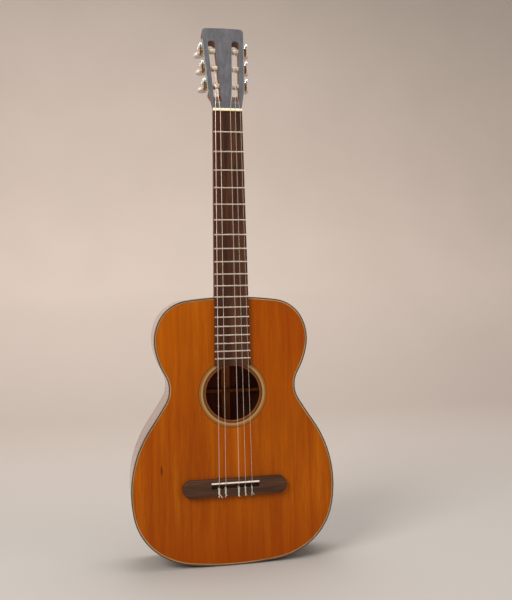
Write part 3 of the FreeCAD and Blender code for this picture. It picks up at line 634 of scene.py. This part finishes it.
def tie_path(number, x, r, hole_out):
    """The string out of its tie hole, over the block, under itself in front and twisted back."""
    turns, half, stray, back = KNOTS[number]
    half *= MM
    y_mid = BRIDGE_TOP - 2.2 * r
    z_front = TIE_Z - 0.3 * MM
    z_rear = BRIDGE_REAR + 1.4 * MM

    def strand(phase, share):
        out = []
        for k in range(int(TWIST_STEPS * share) + 1):
            a = phase + 2 * math.pi * turns * k / TWIST_STEPS
            out.append(Vector((x + half * math.cos(a), y_mid + 1.12 * r * math.sin(a),
                               z_front + (z_rear - z_front) * k / TWIST_STEPS)))
        return out

    over = strand(0.0, 1.0)
    over.reverse()
    climb = [hole_out, hole_out + Vector((0, -1.8 * MM, -0.3 * MM)),
             Vector((x, BRIDGE_TOP + 0.7 * MM, hole_out.z - 0.1 * MM)),
             Vector((x, BRIDGE_TOP - r, BRIDGE_REAR - 0.3 * r))]
    hook = [Vector((x + half, BRIDGE_TOP + 1.8 * MM, TIE_Z + 1.1 * MM)),
            Vector((x, HOLE_Y + 0.6 * MM, TIE_Z + 2.0 * MM)),
            Vector((x - half, BRIDGE_TOP + 1.8 * MM, TIE_Z + 1.1 * MM))]
    tail = strand(math.pi, 0.72)
    last = tail[-1]
    loose = [last + Vector((stray * MM * t, 0.25 * MM * t, -back * MM * t))
             for t in (0.35, 0.7, 1.0)]
    return smooth_path(climb + over + hook + tail + loose, 0.5 * MM)


def string_piece(number):
    """One string from its roller over nut and saddle to the bridge, and its tied end."""
    r = GAUGE[number] * MM
    treble = number <= 3
    joint = JOINTS["roller_spin_%d" % number]
    axis = Vector(joint["axis"]).normalized()
    centre = Vector(joint["pos_m"]) - axis * COIL_FROM_GEAR * MM
    x_nut = (NUT_FIRST - (number - 1) * NUT_GAP) * MM
    x_saddle = (SADDLE_FIRST - (number - 1) * SADDLE_GAP) * MM
    nut = Vector((x_nut, FRET_TOP - NUT_ACTION * MM - r, NUT_Z))
    ring = COIL_R * MM + r
    start = centre - INTO_HEAD * ring
    turns = 3.6 if r > 0.0004 else 4.6
    # turns round the roller, spreading outwards to the string's own hole
    coil = []
    lay_gap = 2.06 * r
    up = axis.cross(INTO_HEAD)
    if up.dot(UP_HEAD) < 0:
        up = -up
    for k in range(int(turns * COIL_STEPS) + 1):
        a = 2 * math.pi * k / COIL_STEPS
        shift = axis * (lay_gap * a / (2 * math.pi))
        wobble = 0.05 * MM * math.sin(a * 0.37 + number)
        coil.append(centre + shift + (up * math.sin(a) - INTO_HEAD * math.cos(a)) * (ring + wobble))
    last = coil[-1]
    out = (last - centre - axis * axis.dot(last - centre)).normalized()
    tail = [last + out * 0.5 * MM + axis * 0.7 * MM, last + out * 1.9 * MM + axis * 1.6 * MM,
            last + out * 2.7 * MM + axis * 3.0 * MM]
    run = [nut.lerp(start, t / 10) for t in range(0, 10)]
    half = (CREST_R * MM + r) * math.tan(SADDLE_BREAK)
    crest = Vector((x_saddle, SADDLE_TOP - r, SADDLE_Z - half))
    board = [crest.lerp(nut, t / 60) for t in range(0, 60)]
    hole_in = Vector((x_saddle, HOLE_Y, TIE_Z + 1.2 * MM))
    hole_out = Vector((x_saddle, HOLE_Y, BRIDGE_REAR - r - 0.25 * MM))
    bend = smooth_path([crest + (hole_in - crest) * 0.1] + [crest], 1 * MM)[:-1]
    loose_end = smooth_path([coil[-1]] + tail, 0.5 * MM)[1:]
    parts = [tube(bend + board + [nut] + run[1:] + [start] + coil[1:] + loose_end, r),
             tube([crest, crest.lerp(hole_in, 0.5), hole_in], r),
             tube([hole_in, hole_in.lerp(hole_out, 0.5), hole_out], r)]
    v, f = tube(tie_path(number, x_saddle, r, hole_out), r, 10)
    knot_piece = add_object("string_%d_tie" % number, v, f, tied.mat)
    v, f = merge(parts)
    obj = add_object("string_%d" % number, v, f, nylon.mat if treble else wound.mat)
    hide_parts(STRING_NODE[number])


for number in GAUGE:
    string_piece(number)

# ---------------------------------------------------------------- floor, backdrop and light
FLOOR_Z = -0.0006                        # just under the guitar
FLOOR_FRONT, SWEEP_START = -4.0, 1.6     # the floor's front edge, and where it curves up
SWEEP_R, SWEEP_STEPS = 1.2, 12
WALL_TOP, HALF_WIDTH = 5.0, 6.0
studio = Shader("studio_paper")
grain = studio.noise(studio.mapped((1, 1, 1)), 3.0, 3.0, 0.5)
paper = studio.ramp(grain, [(0.3, srgb(222, 207, 196)), (0.7, srgb(226, 211, 200))])
# painted shade: the backdrop keeps its full colour up to 0.75 m and darkens to 0.8 of it by 2.25 m
height = studio.math("MULTIPLY", studio.axes()["Z"], 0.4)
paper = studio.mix(1.0, paper, studio.grey(height, 1.0, 0.80, (0.3, 0.9)), "MULTIPLY")
ground = studio.grey(height, 1.0, 0.0, (0.0, 0.2))
# painted shade: the floor is darker in front of and under the guitar, and lightens towards the
# sweep from 0.2 m to 1.5 m behind it
depth = studio.math("MULTIPLY", studio.axes()["Y"], 0.5)
floor_with_painted_shade = studio.ramp(depth, [(0.1, srgb(184, 178, 172)), (0.75, srgb(204, 191, 182))])
studio.color(studio.mix(ground, paper, floor_with_painted_shade))
studio.set(Roughness=0.9, Specular_IOR_Level=0.1)
verts, faces = [], []
profile = [(FLOOR_FRONT, FLOOR_Z), (SWEEP_START, FLOOR_Z)]
for k in range(1, SWEEP_STEPS + 1):
    a = math.pi / 2 * k / SWEEP_STEPS
    profile.append((SWEEP_START + SWEEP_R * math.sin(a), FLOOR_Z + SWEEP_R * (1 - math.cos(a))))
profile.append((SWEEP_START + SWEEP_R, WALL_TOP))
for y, z in profile:
    verts += [(-HALF_WIDTH, y, z), (HALF_WIDTH, y, z)]
for k in range(len(profile) - 1):
    faces.append((2 * k, 2 * k + 1, 2 * k + 3, 2 * k + 2))
floor = add_object("studio_floor", verts, faces, studio.mat, body=None)

world = bpy.data.worlds.new("studio")
bpy.context.scene.world = world
world.use_nodes = True
back = world.node_tree.nodes["Background"]
back.inputs["Color"].default_value = srgb(236, 232, 228)
back.inputs["Strength"].default_value = 0.5


def lamp(name, place, target, size, power, tint=(1, 1, 1)):
    """A soft rectangular light at place, aimed at target."""
    data = bpy.data.lights.new(name, "AREA")
    data.shape = "RECTANGLE"
    data.size, data.size_y = size
    data.energy = power
    data.color = tint
    obj = bpy.data.objects.new(name, data)
    bpy.context.scene.collection.objects.link(obj)
    obj.location = place
    aim = (Vector(target) - Vector(place)).to_track_quat("-Z", "Y")
    obj.rotation_euler = aim.to_euler()


lamp("key_left", (-1.9, -1.8, 2.1), (0, 0, 0.4), (1.4, 1.6), 68.0, (1.0, 0.98, 0.95))
lamp("fill_right", (1.9, -1.6, 1.5), (0, 0, 0.45), (1.2, 1.8), 9.0, (1.0, 0.99, 0.97))
lamp("top_soft", (0.2, 0.4, 2.6), (0, 0.2, 0.3), (2.2, 1.6), 40.0)
bpy.context.scene.view_settings.view_transform = "Standard"
